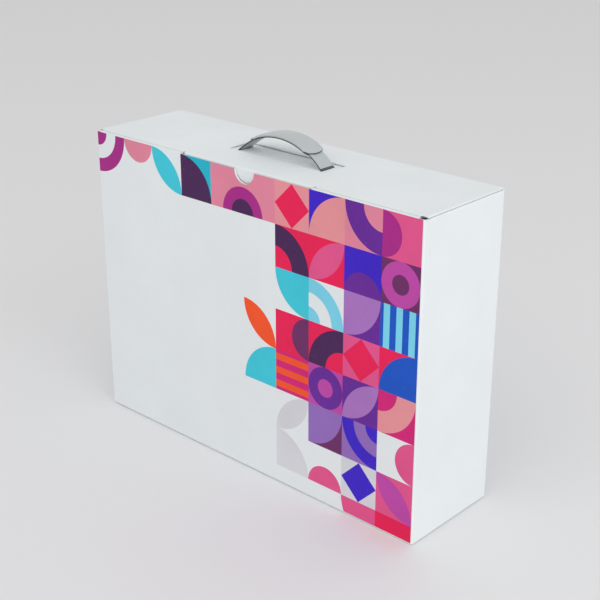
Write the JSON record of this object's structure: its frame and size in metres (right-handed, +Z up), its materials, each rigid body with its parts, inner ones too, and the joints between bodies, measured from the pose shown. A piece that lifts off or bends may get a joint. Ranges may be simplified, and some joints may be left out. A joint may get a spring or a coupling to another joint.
{
  "type": "suitcase gift box",
  "caption": "Slim upright board carton with a hinged lid, tuck-in tongue, dust flaps, locking bottom and an arched plastic strap handle on top",
  "frame": {"origin": "on the ground under the middle of the closed box", "axes": "+X along the long side, +Y towards the back wall that carries the lid, +Z up"},
  "size_m": [0.35, 0.096, 0.2791],
  "materials": {
    "printed_board": "matt white coated liner with a coloured print",
    "white_board": "matt white coated liner on thin corrugated board",
    "handle_plastic": "satin light grey moulded plastic"
  },
  "bodies": {
    "carton": {"front_panel": "printed_board", "back_panel": "white_board", "left_side_panel": "white_board", "right_side_panel": "white_board", "glue_flap": "white_board", "bottom_flap_front": "white_board", "bottom_flap_back": "white_board", "bottom_flap_left": "white_board", "bottom_flap_right": "white_board"},
    "lid": {"lid_panel": "white_board", "handle_board": "white_board", "handle_strap": "handle_plastic"},
    "tongue": {"tuck_flap": "white_board"},
    "dust_flap_l": {"dust_flap_left": "white_board"},
    "dust_flap_r": {"dust_flap_right": "white_board"},
    "grip": {"handle_grip": "handle_plastic"}
  },
  "joints": [
    {"name": "lid_open", "type": "hinge", "parent": "carton", "child": "lid", "pos_m": [0, 0.048, 0.2585], "axis": [-1, 0, 0], "range_deg": [0, 180]},
    {"name": "tongue_unfold", "type": "hinge", "parent": "lid", "child": "tongue", "pos_m": [0.0025, -0.0462, 0.2582], "axis": [-1, 0, 0], "range_deg": [0, 72]},
    {"name": "dust_left_fold", "type": "hinge", "parent": "carton", "child": "dust_flap_l", "pos_m": [-0.1732, 0, 0.2567], "axis": [0, 1, 0], "range_deg": [0, 90]},
    {"name": "dust_right_fold", "type": "hinge", "parent": "carton", "child": "dust_flap_r", "pos_m": [0.1732, 0, 0.2567], "axis": [0, -1, 0], "range_deg": [0, 90]},
    {"name": "handle_press", "type": "slide", "parent": "lid", "child": "grip", "axis": [0, 0, -1], "range_m": [0, 0.007], "stiffness_N_per_m": 500, "deforming": ["handle_strap"]}
  ],
  "couplings": [
    {"joint": "tongue_unfold", "follows": "lid_open", "ratio": 0.4}
  ]
}
